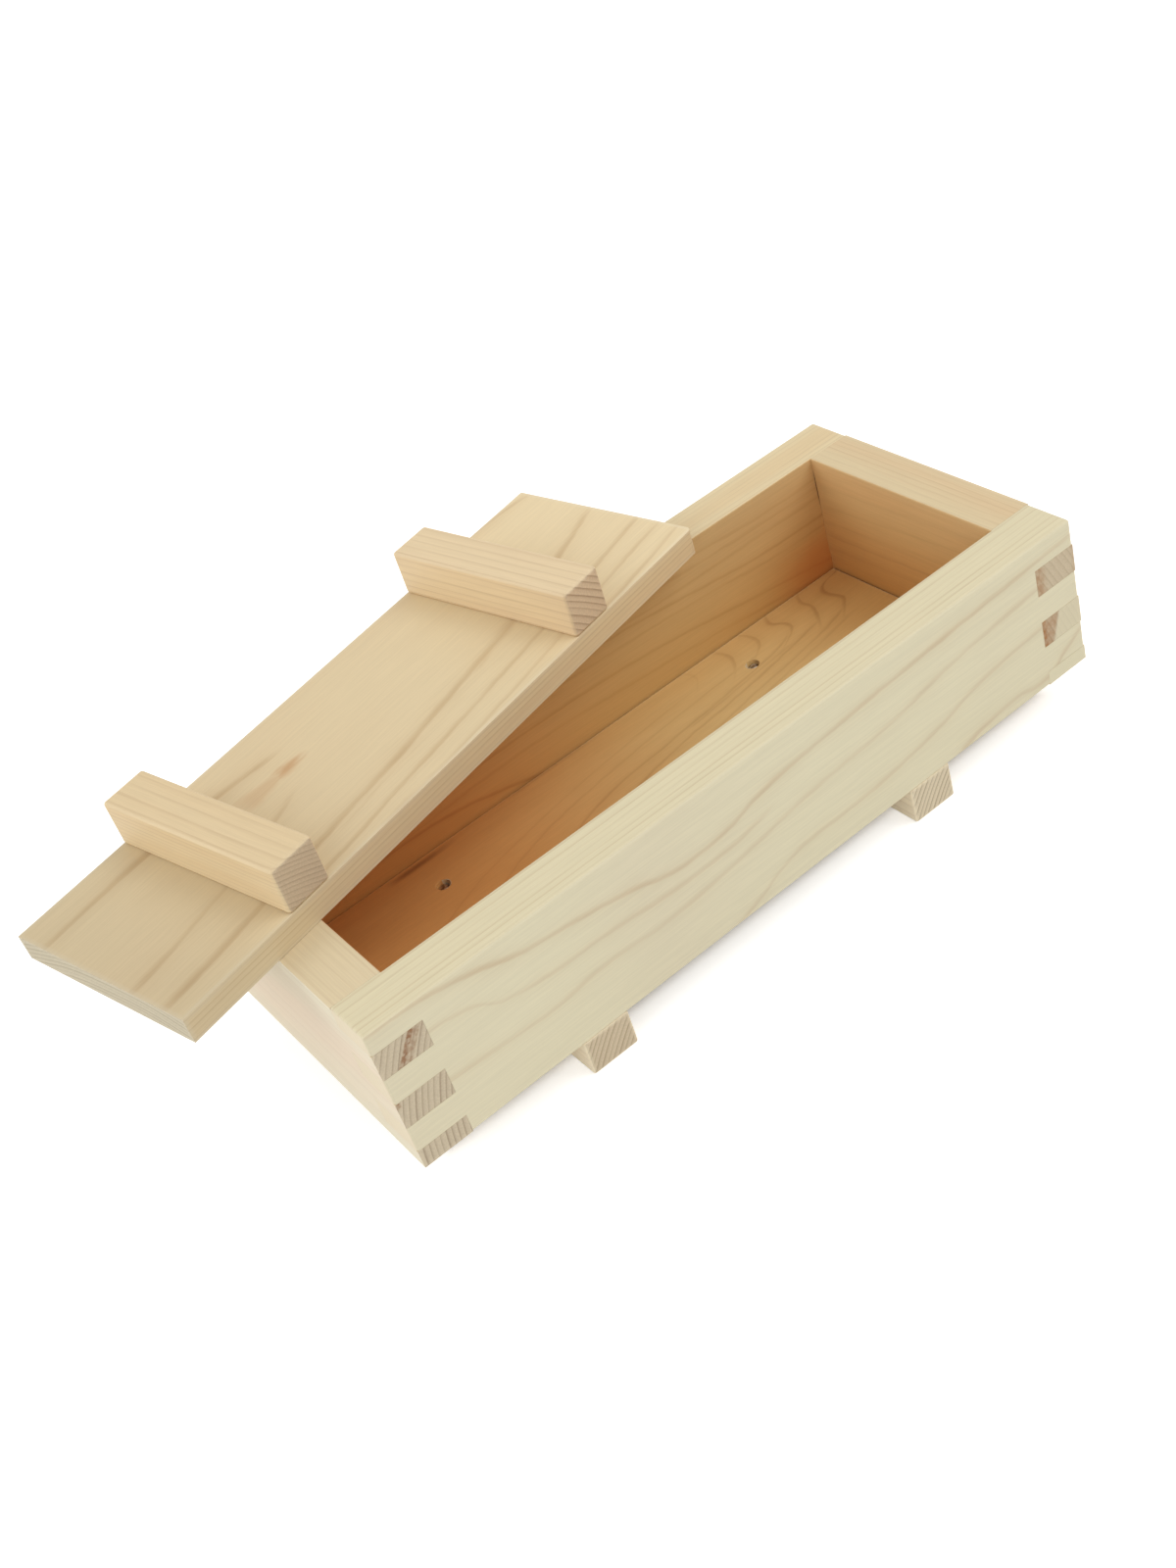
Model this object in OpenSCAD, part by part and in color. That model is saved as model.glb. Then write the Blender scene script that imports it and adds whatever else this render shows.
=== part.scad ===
// Three-piece sushi rice press: a finger-jointed mould frame without top or bottom, a base board
// on two feet that closes it from below, and a press board with two handles that lies across the rim.
// Millimetres. +X runs along the mould, +Y to its rear, +Z up. The part stands on Z = 0.

/* [Mould frame] */
// Outside length of the frame
mould_length = 240; // [180:1:320]
// Outside width of the frame
mould_width = 104; // [80:1:150]
// Height of the four walls
wall_height = 48; // [36:1:70]
// Thickness of the front and rear walls
long_wall_thickness = 15; // [10:0.5:20]
// Thickness of the two end walls
end_wall_thickness = 15; // [10:0.5:20]
// Chamfer on the outside arrises of the frame
frame_easing = 0.8; // [0.2:0.1:2]
// Chamfer round the inside of the rim
rim_easing = 0.4; // [0.1:0.1:1.5]

/* [Corner joints] */
// Height of a whole finger
finger_height = 8.8; // [6:0.1:12]
// Height of the long walls' top finger at the left corners
left_top_finger = 6.6; // [4:0.1:12]
// Height of the long walls' top finger at the right corners
right_top_finger = 8.2; // [4:0.1:12]
// Least height of the bottom finger of an end wall
least_finger = 3; // [1:0.5:6]

/* [Base] */
// Thickness of the base board
base_thickness = 8; // [6:0.5:14]
// Gap between the base board and each wall
base_gap = 0.5; // [0.3:0.1:2]
// Chamfer on the arrises of the base board
base_easing = 0.3; // [0.1:0.1:1.5]

/* [Feet] */
// Width of a foot along the mould
foot_width = 15; // [9:0.5:30]
// Height of a foot
foot_height = 12; // [8:0.5:25]
// Distance of the left foot's middle from the left end of the frame
left_foot_inset = 58.5; // [30:0.5:80]
// Distance of the right foot's middle from the right end of the frame
right_foot_inset = 63.5; // [30:0.5:80]
// How far a foot's ends stand back from the faces of the long walls
foot_setback = 0.3; // [0:0.1:5]
// Chamfer on the arrises of a foot
foot_easing = 0.8; // [0.2:0.1:2]
// Gap between the frame's underside and the feet
seat_gap = 0.1; // [0.05:0.05:0.5]

/* [Press board] */
// Thickness of the press board
press_thickness = 8; // [6:0.5:14]
// Play between each end of the press board and the mould's inside
press_end_play = 1; // [0.5:0.25:4]
// Play between each side of the press board and the mould's inside
press_side_play = 3.5; // [0.5:0.25:6]
// Chamfer on the arrises of the press board
press_easing = 0.9; // [0.2:0.1:2]

/* [Handles] */
// Width of a handle along the press board
handle_width = 14.5; // [10:0.5:22]
// Height of a handle above the press board
handle_height = 14.5; // [10:0.5:25]
// Distance of the left handle's middle from the left end of the press board
left_handle_inset = 44.75; // [20:0.25:65]
// Distance of the right handle's middle from the right end of the press board
right_handle_inset = 47.25; // [20:0.25:65]
// Chamfer on the arrises of a handle
handle_easing = 1; // [0.2:0.1:2]

/* [Place of the press] */
// Turn of the press board from the mould's length
press_turn = 13.8; // [5:0.1:40]
// Distance of the press board's middle to the left of the mould's middle
press_left_shift = 55.3; // [30:0.1:70]
// Distance of the press board's middle in from the rear wall's outer face
press_rear_inset = 13.9; // [5:0.1:25]
// Gap between the press board's underside and the rim
rest_gap = 0.1; // [0.05:0.05:0.5]

/* [Nails] */
// Diameter of a nail's head
nail_head = 3.2; // [2:0.1:5]
// Thickness of a nail's head
nail_head_thickness = 0.8; // [0.4:0.1:1.5]
// Diameter of a nail's shank
nail_shank = 1.6; // [1:0.1:2]
// Whole length of a nail
nail_length = 17; // [14:0.5:19]
// Length of a nail's point
nail_point = 2; // [1:0.5:3]
// Diameter of a nail's blunt tip
nail_tip = 0.8; // [0.2:0.1:1]
// Depth of a nail's head below the wood
nail_sink = 0.9; // [0.3:0.1:1.5]
// Gap round a nail's head in its hole
head_gap = 0.4; // [0.1:0.1:1]
// Gap round a nail's shank in its hole
shank_gap = 0.05; // [0.02:0.01:0.1]
// Distance of the base board's nails from its long edges
base_nail_inset = 15; // [8:0.5:24]
// Distance of the press board's nails from its long edges
press_nail_inset = 14; // [8:0.5:24]

/* [Hidden] */
$fn = 48;

// Overlap of a cutter past the face that it cuts
past = 1;

// The mould's inside, and the heights at which the pieces sit on each other
inside_length = mould_length - 2 * end_wall_thickness;
inside_width = mould_width - 2 * long_wall_thickness;
frame_z = foot_height + seat_gap;
rim_z = frame_z + wall_height;
base_top_z = foot_height + base_thickness;
press_z = rim_z + rest_gap;
press_top_z = press_z + press_thickness;

// The base board fills the frame's open bottom, and each foot runs under both long walls
base_size = [inside_length - 2 * base_gap, inside_width - 2 * base_gap, base_thickness];
foot_size = [foot_width, mould_width - 2 * foot_setback, foot_height];
left_foot_x = -mould_length / 2 + left_foot_inset;
right_foot_x = mould_length / 2 - right_foot_inset;

// The press board fits the mould's inside with its play, and each handle runs right across it
press_size = [inside_length - 2 * press_end_play, inside_width - 2 * press_side_play, press_thickness];
handle_size = [handle_width, press_size[1], handle_height];
left_handle_x = -press_size[0] / 2 + left_handle_inset;
right_handle_x = press_size[0] / 2 - right_handle_inset;

// Middle of the press board where it lies, and its reach to each side once turned, which the
// chamfer on its upright arrises cuts short
press_x = -press_left_shift;
press_y = mould_width / 2 - press_rear_inset;
corner_loss = press_easing * sin(press_turn);
press_reach_x = (press_size[0] * cos(press_turn) + press_size[1] * sin(press_turn)) / 2 - corner_loss;
press_reach_y = (press_size[0] * sin(press_turn) + press_size[1] * cos(press_turn)) / 2 - corner_loss;

// The whole part's footprint, whose centre is the origin
low_x = min(-mould_length / 2, press_x - press_reach_x);
high_x = max(mould_length / 2, press_x + press_reach_x);
low_y = min(-mould_width / 2, press_y - press_reach_y);
high_y = max(mould_width / 2, press_y + press_reach_y);

// Where the nails go: two through a board into each foot or handle
base_nail_y = base_size[1] / 2 - base_nail_inset;
press_nail_y = press_size[1] / 2 - press_nail_inset;

wall_colour = "BurlyWood";
board_colour = "Wheat";
batten_colour = "NavajoWhite";
nail_colour = "Silver";

// A rectangle centred on the origin with its four corners cut at 45 degrees
module eased_rectangle(width, height, easing) {
    x = width / 2;
    y = height / 2;
    polygon([
        [x - easing, -y], [x, -y + easing], [x, y - easing], [x - easing, y],
        [-x + easing, y], [-x, y - easing], [-x, -y + easing], [-x + easing, -y]
    ]);
}

// A block centred on Z that stands on Z = 0, with all of its arrises chamfered
module eased_block(size, easing) {
    translate([0, 0, size[2] / 2])
        intersection() {
            linear_extrude(size[2], center = true)
                eased_rectangle(size[0], size[1], easing);
            rotate([90, 0, 0])
                linear_extrude(size[1], center = true)
                    eased_rectangle(size[0], size[2], easing);
            rotate([90, 0, 90])
                linear_extrude(size[0], center = true)
                    eased_rectangle(size[1], size[2], easing);
        }
}

// The mould's inside seen along one side: upright walls that widen over the rim's chamfer
module mouth_outline(width) {
    x = width / 2;
    flare = rim_easing + past;
    polygon([
        [-x, -past], [x, -past],
        [x, wall_height - rim_easing], [x + flare, wall_height + past],
        [-x - flare, wall_height + past], [-x, wall_height - rim_easing]
    ]);
}

// The mould's inside, open at the top and the bottom
module mould_inside() {
    intersection() {
        rotate([90, 0, 0])
            linear_extrude(mould_width, center = true)
                mouth_outline(inside_length);
        rotate([90, 0, 90])
            linear_extrude(mould_length, center = true)
                mouth_outline(inside_width);
    }
}

// The four walls as one ring, before the corner joints part them
module wall_ring() {
    difference() {
        eased_block([mould_length, mould_width, wall_height], frame_easing);
        mould_inside();
    }
}

// The fingers of one end wall, side = -1 at the left end and 1 at the right end
module end_wall_fingers(side) {
    top_finger = side < 0 ? left_top_finger : right_top_finger;
    fingers = 1 + floor((wall_height - top_finger - least_finger) / (2 * finger_height));
    for (i = [0 : fingers - 1]) {
        top = wall_height - top_finger - 2 * i * finger_height;
        bottom = max(0, top - finger_height);
        for (end = [-1, 1])
            translate([side * (mould_length - end_wall_thickness) / 2,
                       end * (mould_width - long_wall_thickness) / 2, (top + bottom) / 2])
                cube([end_wall_thickness, long_wall_thickness, top - bottom], center = true);
    }
}

// A long wall of the frame, side = -1 at the front and 1 at the rear
module long_wall(side) {
    color(wall_colour)
        in_place(frame_z)
            intersection() {
                wall_ring();
                difference() {
                    translate([0, side * (mould_width - long_wall_thickness) / 2, wall_height / 2])
                        cube([mould_length, long_wall_thickness, wall_height], center = true);
                    end_wall_fingers(-1);
                    end_wall_fingers(1);
                }
            }
}

// An end wall of the frame, side = -1 at the left and 1 at the right
module end_wall(side) {
    color(wall_colour)
        in_place(frame_z)
            intersection() {
                wall_ring();
                union() {
                    translate([side * (mould_length - end_wall_thickness) / 2, 0, wall_height / 2])
                        cube([end_wall_thickness, inside_width, wall_height], center = true);
                    end_wall_fingers(side);
                }
            }
}

// Moves a piece from the mould's own middle to the part's frame, at a height
module in_place(z) {
    translate([-(low_x + high_x) / 2, -(low_y + high_y) / 2, z])
        children();
}

// Moves a piece of the press to where the press lies across the rim, at a height
module on_the_rim(z) {
    in_place(z)
        translate([press_x, press_y, 0])
            rotate([0, 0, press_turn])
                children();
}

// A nail that points down from its head's top at Z = 0, or the hole that it is driven into
module nail(gap_round_head = 0, gap_round_shank = 0) {
    shank_end = nail_length - nail_point;
    translate([0, 0, -nail_head_thickness])
        cylinder(h = nail_head_thickness, d = nail_head + 2 * gap_round_head);
    translate([0, 0, -shank_end])
        cylinder(h = shank_end - nail_head_thickness / 2, d = nail_shank + 2 * gap_round_shank);
    translate([0, 0, -nail_length - gap_round_shank])
        cylinder(h = nail_point + gap_round_shank, d1 = nail_tip, d2 = nail_shank + 2 * gap_round_shank);
}

// The hole of a sunk nail, open at the wood's face
module nail_hole() {
    translate([0, 0, -nail_sink])
        nail(head_gap, shank_gap);
    translate([0, 0, -nail_sink - nail_head_thickness])
        cylinder(h = nail_sink + nail_head_thickness + past, d = nail_head + 2 * head_gap);
}

// Children at each of four nails: two bars' middles along X, two places across
module at_nails(left_x, right_x, y) {
    for (x = [left_x, right_x])
        for (side = [-1, 1])
            translate([x, side * y, 0])
                children();
}

// The base's nails or their holes, driven down from the base board's top
module at_base_nails() {
    at_nails(left_foot_x, right_foot_x, base_nail_y)
        children();
}

// The press's nails or their holes, driven up from the press board's underside
module at_press_nails() {
    at_nails(left_handle_x, right_handle_x, press_nail_y)
        mirror([0, 0, 1])
            children();
}

module front_wall() {
    long_wall(-1);
}

module rear_wall() {
    long_wall(1);
}

module left_end_wall() {
    end_wall(-1);
}

module right_end_wall() {
    end_wall(1);
}

module base_board() {
    color(board_colour)
        difference() {
            in_place(foot_height)
                eased_block(base_size, base_easing);
            in_place(base_top_z)
                at_base_nails()
                    nail_hole();
        }
}

// One foot under the base board, drilled for its nails
module foot(x) {
    color(batten_colour)
        difference() {
            in_place(0)
                translate([x, 0, 0])
                    eased_block(foot_size, foot_easing);
            in_place(base_top_z)
                at_base_nails()
                    nail_hole();
        }
}

module left_foot() {
    foot(left_foot_x);
}

module right_foot() {
    foot(right_foot_x);
}

module base_nails() {
    color(nail_colour)
        in_place(base_top_z - nail_sink)
            at_base_nails()
                nail();
}

module press_board() {
    color(board_colour)
        difference() {
            on_the_rim(press_z)
                eased_block(press_size, press_easing);
            on_the_rim(press_z)
                at_press_nails()
                    nail_hole();
        }
}

// One handle across the press board, drilled for its nails
module handle(x) {
    color(batten_colour)
        difference() {
            on_the_rim(press_top_z)
                translate([x, 0, 0])
                    eased_block(handle_size, handle_easing);
            on_the_rim(press_z)
                at_press_nails()
                    nail_hole();
        }
}

module left_handle() {
    handle(left_handle_x);
}

module right_handle() {
    handle(right_handle_x);
}

module press_nails() {
    color(nail_colour)
        on_the_rim(press_z + nail_sink)
            at_press_nails()
                nail();
}

front_wall();
rear_wall();
left_end_wall();
right_end_wall();
base_board();
left_foot();
right_foot();
base_nails();
press_board();
left_handle();
right_handle();
press_nails();
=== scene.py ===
# Sushi rice mould press: the finished wood, the nails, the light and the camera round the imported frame.
# Metres, in the frame's own axes: +X along the mould, +Y to its rear, +Z up.
import math

import bmesh
import bpy
from mathutils import Matrix, Vector


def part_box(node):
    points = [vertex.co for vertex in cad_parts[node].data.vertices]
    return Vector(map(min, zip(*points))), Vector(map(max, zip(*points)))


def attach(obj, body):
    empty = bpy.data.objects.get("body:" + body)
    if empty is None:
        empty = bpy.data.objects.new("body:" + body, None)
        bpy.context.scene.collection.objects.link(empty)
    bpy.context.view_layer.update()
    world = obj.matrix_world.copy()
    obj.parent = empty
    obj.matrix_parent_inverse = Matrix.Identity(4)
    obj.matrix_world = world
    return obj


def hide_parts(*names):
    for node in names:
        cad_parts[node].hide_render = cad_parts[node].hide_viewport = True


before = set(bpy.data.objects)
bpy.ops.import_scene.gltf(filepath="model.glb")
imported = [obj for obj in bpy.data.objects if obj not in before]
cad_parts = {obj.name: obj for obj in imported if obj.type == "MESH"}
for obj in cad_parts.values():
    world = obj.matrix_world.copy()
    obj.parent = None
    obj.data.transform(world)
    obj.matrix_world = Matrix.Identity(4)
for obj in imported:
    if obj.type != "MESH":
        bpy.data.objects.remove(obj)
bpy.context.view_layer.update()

# ---------------------------------------------------------------- sizes

MM = 0.001

# How far each arris is rounded
FRAME_ROUND = 0.8 * MM
RIM_ROUND = 0.4 * MM
BASE_ROUND = 0.3 * MM
FOOT_ROUND = 0.8 * MM
PRESS_ROUND = 0.9 * MM
HANDLE_ROUND = 1.0 * MM
ROUND_STEPS = 4

# The press board's right front corner is worn rounder than the rest
WORN_ROUND = 1.9 * MM
WORN_STEPS = 6
WORN_REACH = 2.2 * MM

# The glued finger joints: a hairline at each seam
JOINT_GAP = 0.03 * MM
JOINT_ROUND = 0.07 * MM
JOINT_STEPS = 2

# A wire nail and the hole that its sunk head leaves, with shares of the head's radius and of its depth
NAIL_HEAD_RADIUS = 1.6 * MM
NAIL_HEAD_THICKNESS = 0.8 * MM
NAIL_SHANK_RADIUS = 0.8 * MM
NAIL_POINT = 2.0 * MM
NAIL_TIP_RADIUS = 0.15 * MM
NAIL_DOME = 0.32 * MM
NAIL_CROWN_SHARE = 0.35
NAIL_SHOULDER_SHARE = 0.75
HOLE_FLOOR_RADIUS = 1.8 * MM
HOLE_MOUTH_RADIUS = 2.15 * MM
HOLE_FLARE = 1.2
HOLE_STRAIGHT_SHARE = 0.8
SHANK_HOLE_RADIUS = 0.85 * MM
PIN_SIDES = 40

# How far the press lies turned from the mould's length
PRESS_TURN = math.radians(13.8)

# Overlap of a cutter past the face that it cuts
PAST = 1.0 * MM

# Two places this close count as one, and points closer still are merged
NEAR = 0.01 * MM
MERGE = 0.002 * MM

# Edges sharper than this are sanded, and shading is smooth across those that are flatter
SANDED_FROM = math.radians(50)
SMOOTH_UP_TO = math.radians(40)


# ---------------------------------------------------------------- modelling

def deselect_all():
    """Leaves nothing selected, so that the next operator acts on its own piece alone."""
    bpy.ops.object.select_all(action="DESELECT")


def make_active(piece):
    """Selects one piece and makes it the one that operators act on."""
    deselect_all()
    piece.select_set(True)
    bpy.context.view_layer.objects.active = piece


def settle(piece):
    """Puts a piece's place, turn and scale into its mesh, so that it sits at the origin."""
    make_active(piece)
    bpy.ops.object.transform_apply(location=True, rotation=True, scale=True)


def new_block(name, low, high):
    """A rectangular block between two corners, the sawn blank of a board or a bar."""
    deselect_all()
    bpy.ops.mesh.primitive_cube_add(size=1, location=(low + high) / 2)
    block = bpy.context.object
    block.name = name
    block.scale = high - low
    settle(block)
    return block


def edit(piece, selected):
    """Starts the editing of one piece, with all of it selected or nothing."""
    make_active(piece)
    bpy.ops.object.mode_set(mode="EDIT")
    bpy.ops.mesh.select_mode(type="EDGE")
    bpy.ops.mesh.select_all(action="SELECT" if selected else "DESELECT")


def lies_at(point, **wanted):
    """True where a point has each coordinate that is given."""
    return all(abs(getattr(point, axis) - value) < NEAR for axis, value in wanted.items())


def shared_faces(start, end, low, high):
    """How many faces of a box hold both ends of an edge."""
    sides = [{axis: getattr(corner, axis)} for axis in "xyz" for corner in (low, high)]
    return sum(lies_at(start, **side) and lies_at(end, **side) for side in sides)


def any_edge(start, end):
    """Every edge."""
    return True


def round_edges(piece, is_wanted, width, steps=ROUND_STEPS):
    """Rounds the edges whose two ends pass a test."""
    edit(piece, selected=False)
    mesh = bmesh.from_edit_mesh(piece.data)
    for edge in mesh.edges:
        start, end = (vertex.co for vertex in edge.verts)
        edge.select_set(is_wanted(start, end))
    bmesh.update_edit_mesh(piece.data)
    bpy.ops.mesh.bevel(offset=width, segments=steps, profile=0.5, affect="EDGES", clamp_overlap=True)
    bpy.ops.object.mode_set(mode="OBJECT")


def score(piece, place, normal):
    """Adds a line of edges right round a piece, where a plane crosses it."""
    edit(piece, selected=True)
    bpy.ops.mesh.bisect(plane_co=place, plane_no=normal)
    bpy.ops.object.mode_set(mode="OBJECT")


def cut_away(piece, cutters):
    """Takes the cutters' shapes out of a piece, and deletes them."""
    for cutter in cutters:
        make_active(piece)
        cut = piece.modifiers.new("cut", "BOOLEAN")
        cut.operation = "DIFFERENCE"
        cut.solver = "EXACT"
        cut.object = cutter
        bpy.ops.object.modifier_apply(modifier=cut.name)
        bpy.data.objects.remove(cutter)


def take_off_edges(piece):
    """Sands a hairline off every edge that is still sharp."""
    make_active(piece)
    sand = piece.modifiers.new("sand", "BEVEL")
    sand.width = JOINT_ROUND
    sand.segments = JOINT_STEPS
    sand.limit_method = "ANGLE"
    sand.angle_limit = SANDED_FROM
    sand.miter_outer = "MITER_ARC"
    bpy.ops.object.modifier_apply(modifier=sand.name)


def finish_surface(piece):
    """Smooth shading that keeps the broad faces flat."""
    edit(piece, selected=True)
    bpy.ops.mesh.remove_doubles(threshold=MERGE)
    bpy.ops.mesh.normals_make_consistent(inside=False)
    bpy.ops.object.mode_set(mode="OBJECT")
    bpy.ops.object.shade_smooth_by_angle(angle=SMOOTH_UP_TO)
    even = piece.modifiers.new("even shading", "WEIGHTED_NORMAL")
    even.keep_sharp = True
    bpy.ops.object.modifier_apply(modifier=even.name)


def turn_with_press(piece):
    """Turns a piece of the press, which was made square, about the frame's Z axis."""
    piece.rotation_euler.z = PRESS_TURN
    settle(piece)


def round_bar(name, rings):
    """A round piece about Z, from its top down: each ring is a radius and a height."""
    deselect_all()
    top_radius, top_height = rings[0]
    bpy.ops.mesh.primitive_circle_add(
        vertices=PIN_SIDES, radius=top_radius, fill_type="NGON", location=(0, 0, top_height)
    )
    bar = bpy.context.object
    bar.name = name
    settle(bar)
    edit(bar, selected=True)
    for (radius, height), (next_radius, next_height) in zip(rings, rings[1:]):
        bpy.ops.mesh.extrude_region_move(TRANSFORM_OT_translate={"value": (0, 0, next_height - height)})
        growth = next_radius / radius
        bpy.ops.transform.resize(value=(growth, growth, 1), center_override=(0, 0, next_height))
    bpy.ops.mesh.select_all(action="SELECT")
    bpy.ops.mesh.normals_make_consistent(inside=False)
    bpy.ops.object.mode_set(mode="OBJECT")
    return bar


def copy_to(piece, name, place, upside_down):
    """A copy of a piece with its own mesh, moved from the origin to a place."""
    copy = piece.copy()
    copy.data = piece.data.copy()
    copy.name = name
    bpy.context.scene.collection.objects.link(copy)
    if upside_down:
        copy.rotation_euler.x = math.pi
    copy.location = place
    settle(copy)
    return copy


def press_box(node):
    """Lowest and highest corner of a CAD node of the press, along the turned board's own sides."""
    back = Matrix.Rotation(-PRESS_TURN, 3, "Z")
    corners = [back @ vertex.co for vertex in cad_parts[node].data.vertices]
    low = Vector(min(corner[axis] for corner in corners) for axis in range(3))
    high = Vector(max(corner[axis] for corner in corners) for axis in range(3))
    return low, high


# ---------------------------------------------------------------- places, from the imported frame

front_low, front_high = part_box("front_wall")
rear_low, rear_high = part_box("rear_wall")
left_low, left_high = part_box("left_end_wall")
right_low, right_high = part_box("right_end_wall")
base_low, base_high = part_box("base_board")

mould_low = front_low.copy()
mould_high = rear_high.copy()
inside_low = Vector((left_high.x, front_high.y, mould_low.z))
inside_high = Vector((right_low.x, rear_low.y, mould_high.z))


def finger_spans(node, corner_x):
    """The heights between which an end wall's fingers lie, read off the inner corner of its CAD node."""
    heights = sorted({
        round(vertex.co.z, 5)
        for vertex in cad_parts[node].data.vertices
        if lies_at(vertex.co, x=corner_x, y=inside_low.y)
    })
    edges = [mould_low.z] + [height for height in heights if height < mould_high.z - 2 * RIM_ROUND]
    return list(zip(edges[0::2], edges[1::2]))


left_fingers = finger_spans("left_end_wall", inside_low.x)
right_fingers = finger_spans("right_end_wall", inside_high.x)


# ---------------------------------------------------------------- the mould's frame

def on_the_outside(start, end):
    """An edge that is an arris of the whole glued frame."""
    return shared_faces(start, end, mould_low, mould_high) >= 2


def socket(ends, sides, span):
    """A cutter for the place of the other board's finger: its reach along X, along Y and in height."""
    bottom, top = span
    return new_block(
        "socket",
        Vector((ends[0], sides[0], bottom - JOINT_GAP)),
        Vector((ends[1], sides[1], top + JOINT_GAP)),
    )


def joined(wall, sockets):
    """A wall with its sockets cut, its edges sanded and its surface finished."""
    cut_away(wall, sockets)
    take_off_edges(wall)
    finish_surface(wall)
    return wall


def long_wall(name, low, high, inner_y):
    """The front or the rear wall, with the end walls' fingers let into it at both ends."""
    wall = new_block(name, low, high)
    for x in (inside_low.x, inside_high.x):
        score(wall, (x, 0, 0), (1, 0, 0))

    def inner_rim(start, end):
        return all(
            lies_at(point, y=inner_y, z=mould_high.z)
            and inside_low.x - NEAR < point.x < inside_high.x + NEAR
            for point in (start, end)
        )

    round_edges(wall, inner_rim, RIM_ROUND)
    round_edges(wall, on_the_outside, FRAME_ROUND)
    sides = (low.y - PAST, high.y + PAST)
    sockets = [
        socket(ends, sides, span)
        for ends, spans in (
            ((low.x - PAST, inside_low.x + JOINT_GAP), left_fingers),
            ((inside_high.x - JOINT_GAP, high.x + PAST), right_fingers),
        )
        for span in spans
    ]
    return joined(wall, sockets)


def end_wall(name, low, high, inner_x, spans):
    """The left or the right end wall, which keeps only its own fingers at the corners."""
    wall = new_block(name, low, high)

    def inner_rim(start, end):
        return all(lies_at(point, x=inner_x, z=mould_high.z) for point in (start, end))

    round_edges(wall, inner_rim, RIM_ROUND)
    round_edges(wall, on_the_outside, FRAME_ROUND)
    tops = [top for bottom, top in spans]
    next_bottoms = [bottom for bottom, top in spans[1:]] + [high.z + PAST]
    ends = (low.x - PAST, high.x + PAST)
    front = (low.y - PAST, inside_low.y + JOINT_GAP)
    rear = (inside_high.y - JOINT_GAP, high.y + PAST)
    sockets = [
        socket(ends, sides, span) for span in zip(tops, next_bottoms) for sides in (front, rear)
    ]
    return joined(wall, sockets)


front_wall = long_wall("front_wall_board", front_low, front_high, inside_low.y)
rear_wall = long_wall("rear_wall_board", rear_low, rear_high, inside_high.y)
left_wall = end_wall("left_end_board", left_low, left_high, inside_low.x, left_fingers)
right_wall = end_wall("right_end_board", right_low, right_high, inside_high.x, right_fingers)


# ---------------------------------------------------------------- nails

def nail_places(low, high):
    """The middles of four nails, from the box round them."""
    return [
        (x, y)
        for x in (low.x + NAIL_HEAD_RADIUS, high.x - NAIL_HEAD_RADIUS)
        for y in (low.y + NAIL_HEAD_RADIUS, high.y - NAIL_HEAD_RADIUS)
    ]


def new_nail(length):
    """One wire nail with the top of its head at the origin, pointing down."""
    rim = NAIL_HEAD_THICKNESS / 4
    return round_bar("nail", [
        (NAIL_HEAD_RADIUS * NAIL_CROWN_SHARE, 0),
        (NAIL_HEAD_RADIUS * NAIL_SHOULDER_SHARE, -NAIL_DOME / 3),
        (NAIL_HEAD_RADIUS - rim / 2, -NAIL_DOME),
        (NAIL_HEAD_RADIUS, -NAIL_DOME - rim),
        (NAIL_HEAD_RADIUS, -NAIL_HEAD_THICKNESS + rim / 2),
        (NAIL_HEAD_RADIUS - rim / 2, -NAIL_HEAD_THICKNESS),
        (NAIL_SHANK_RADIUS, -NAIL_HEAD_THICKNESS),
        (NAIL_SHANK_RADIUS, -length + NAIL_POINT),
        (NAIL_TIP_RADIUS, -length),
    ])


def new_nail_hole(length, sink):
    """What a driven nail leaves: a crushed mouth over its head, and the hole round its shank."""
    play = 2 * NEAR
    return round_bar("nail_hole", [
        (HOLE_MOUTH_RADIUS * HOLE_FLARE, sink + PAST),
        (HOLE_MOUTH_RADIUS * HOLE_FLARE, sink),
        (HOLE_MOUTH_RADIUS, sink * HOLE_STRAIGHT_SHARE),
        (HOLE_FLOOR_RADIUS, -NAIL_HEAD_THICKNESS - play),
        (SHANK_HOLE_RADIUS, -NAIL_HEAD_THICKNESS - play),
        (SHANK_HOLE_RADIUS, -length - play),
    ])


def drive_nails(name, box, boards, upside_down, surface_z):
    """Four nails in one piece, with their holes cut in each board that they go through."""
    low, high = box
    length = high.z - low.z
    head_z = low.z if upside_down else high.z
    sink = abs(surface_z - head_z)
    pattern = new_nail(length)
    hole = new_nail_hole(length, sink)
    nails = []
    for number, (x, y) in enumerate(nail_places(low, high)):
        place = Vector((x, y, head_z))
        nails.append(copy_to(pattern, f"{name}_{number}", place, upside_down))
        for board in boards:
            cut_away(board, [copy_to(hole, "hole", place, upside_down)])
    bpy.data.objects.remove(pattern)
    bpy.data.objects.remove(hole)
    make_active(nails[0])
    for nail in nails:
        nail.select_set(True)
    bpy.ops.object.join()
    nails[0].name = name
    return nails[0]


# ---------------------------------------------------------------- the base

base_board = new_block("base_floor_board", base_low, base_high)
round_edges(base_board, any_edge, BASE_ROUND)
feet = []
for node in ("left_foot", "right_foot"):
    foot = new_block(node + "_bar", *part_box(node))
    round_edges(foot, any_edge, FOOT_ROUND)
    feet.append(foot)
base_nails = drive_nails(
    "floor_nails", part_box("base_nails"), [base_board] + feet, upside_down=False, surface_z=base_high.z
)
for piece in [base_board, base_nails] + feet:
    finish_surface(piece)


# ---------------------------------------------------------------- the press, made square and then turned

board_low, board_high = press_box("press_board")
press_board = new_block("press_plate_board", board_low, board_high)


def worn_corner(start, end):
    """The upright arris at the board's right front corner."""
    return all(lies_at(point, x=board_high.x, y=board_low.y) for point in (start, end))


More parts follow.
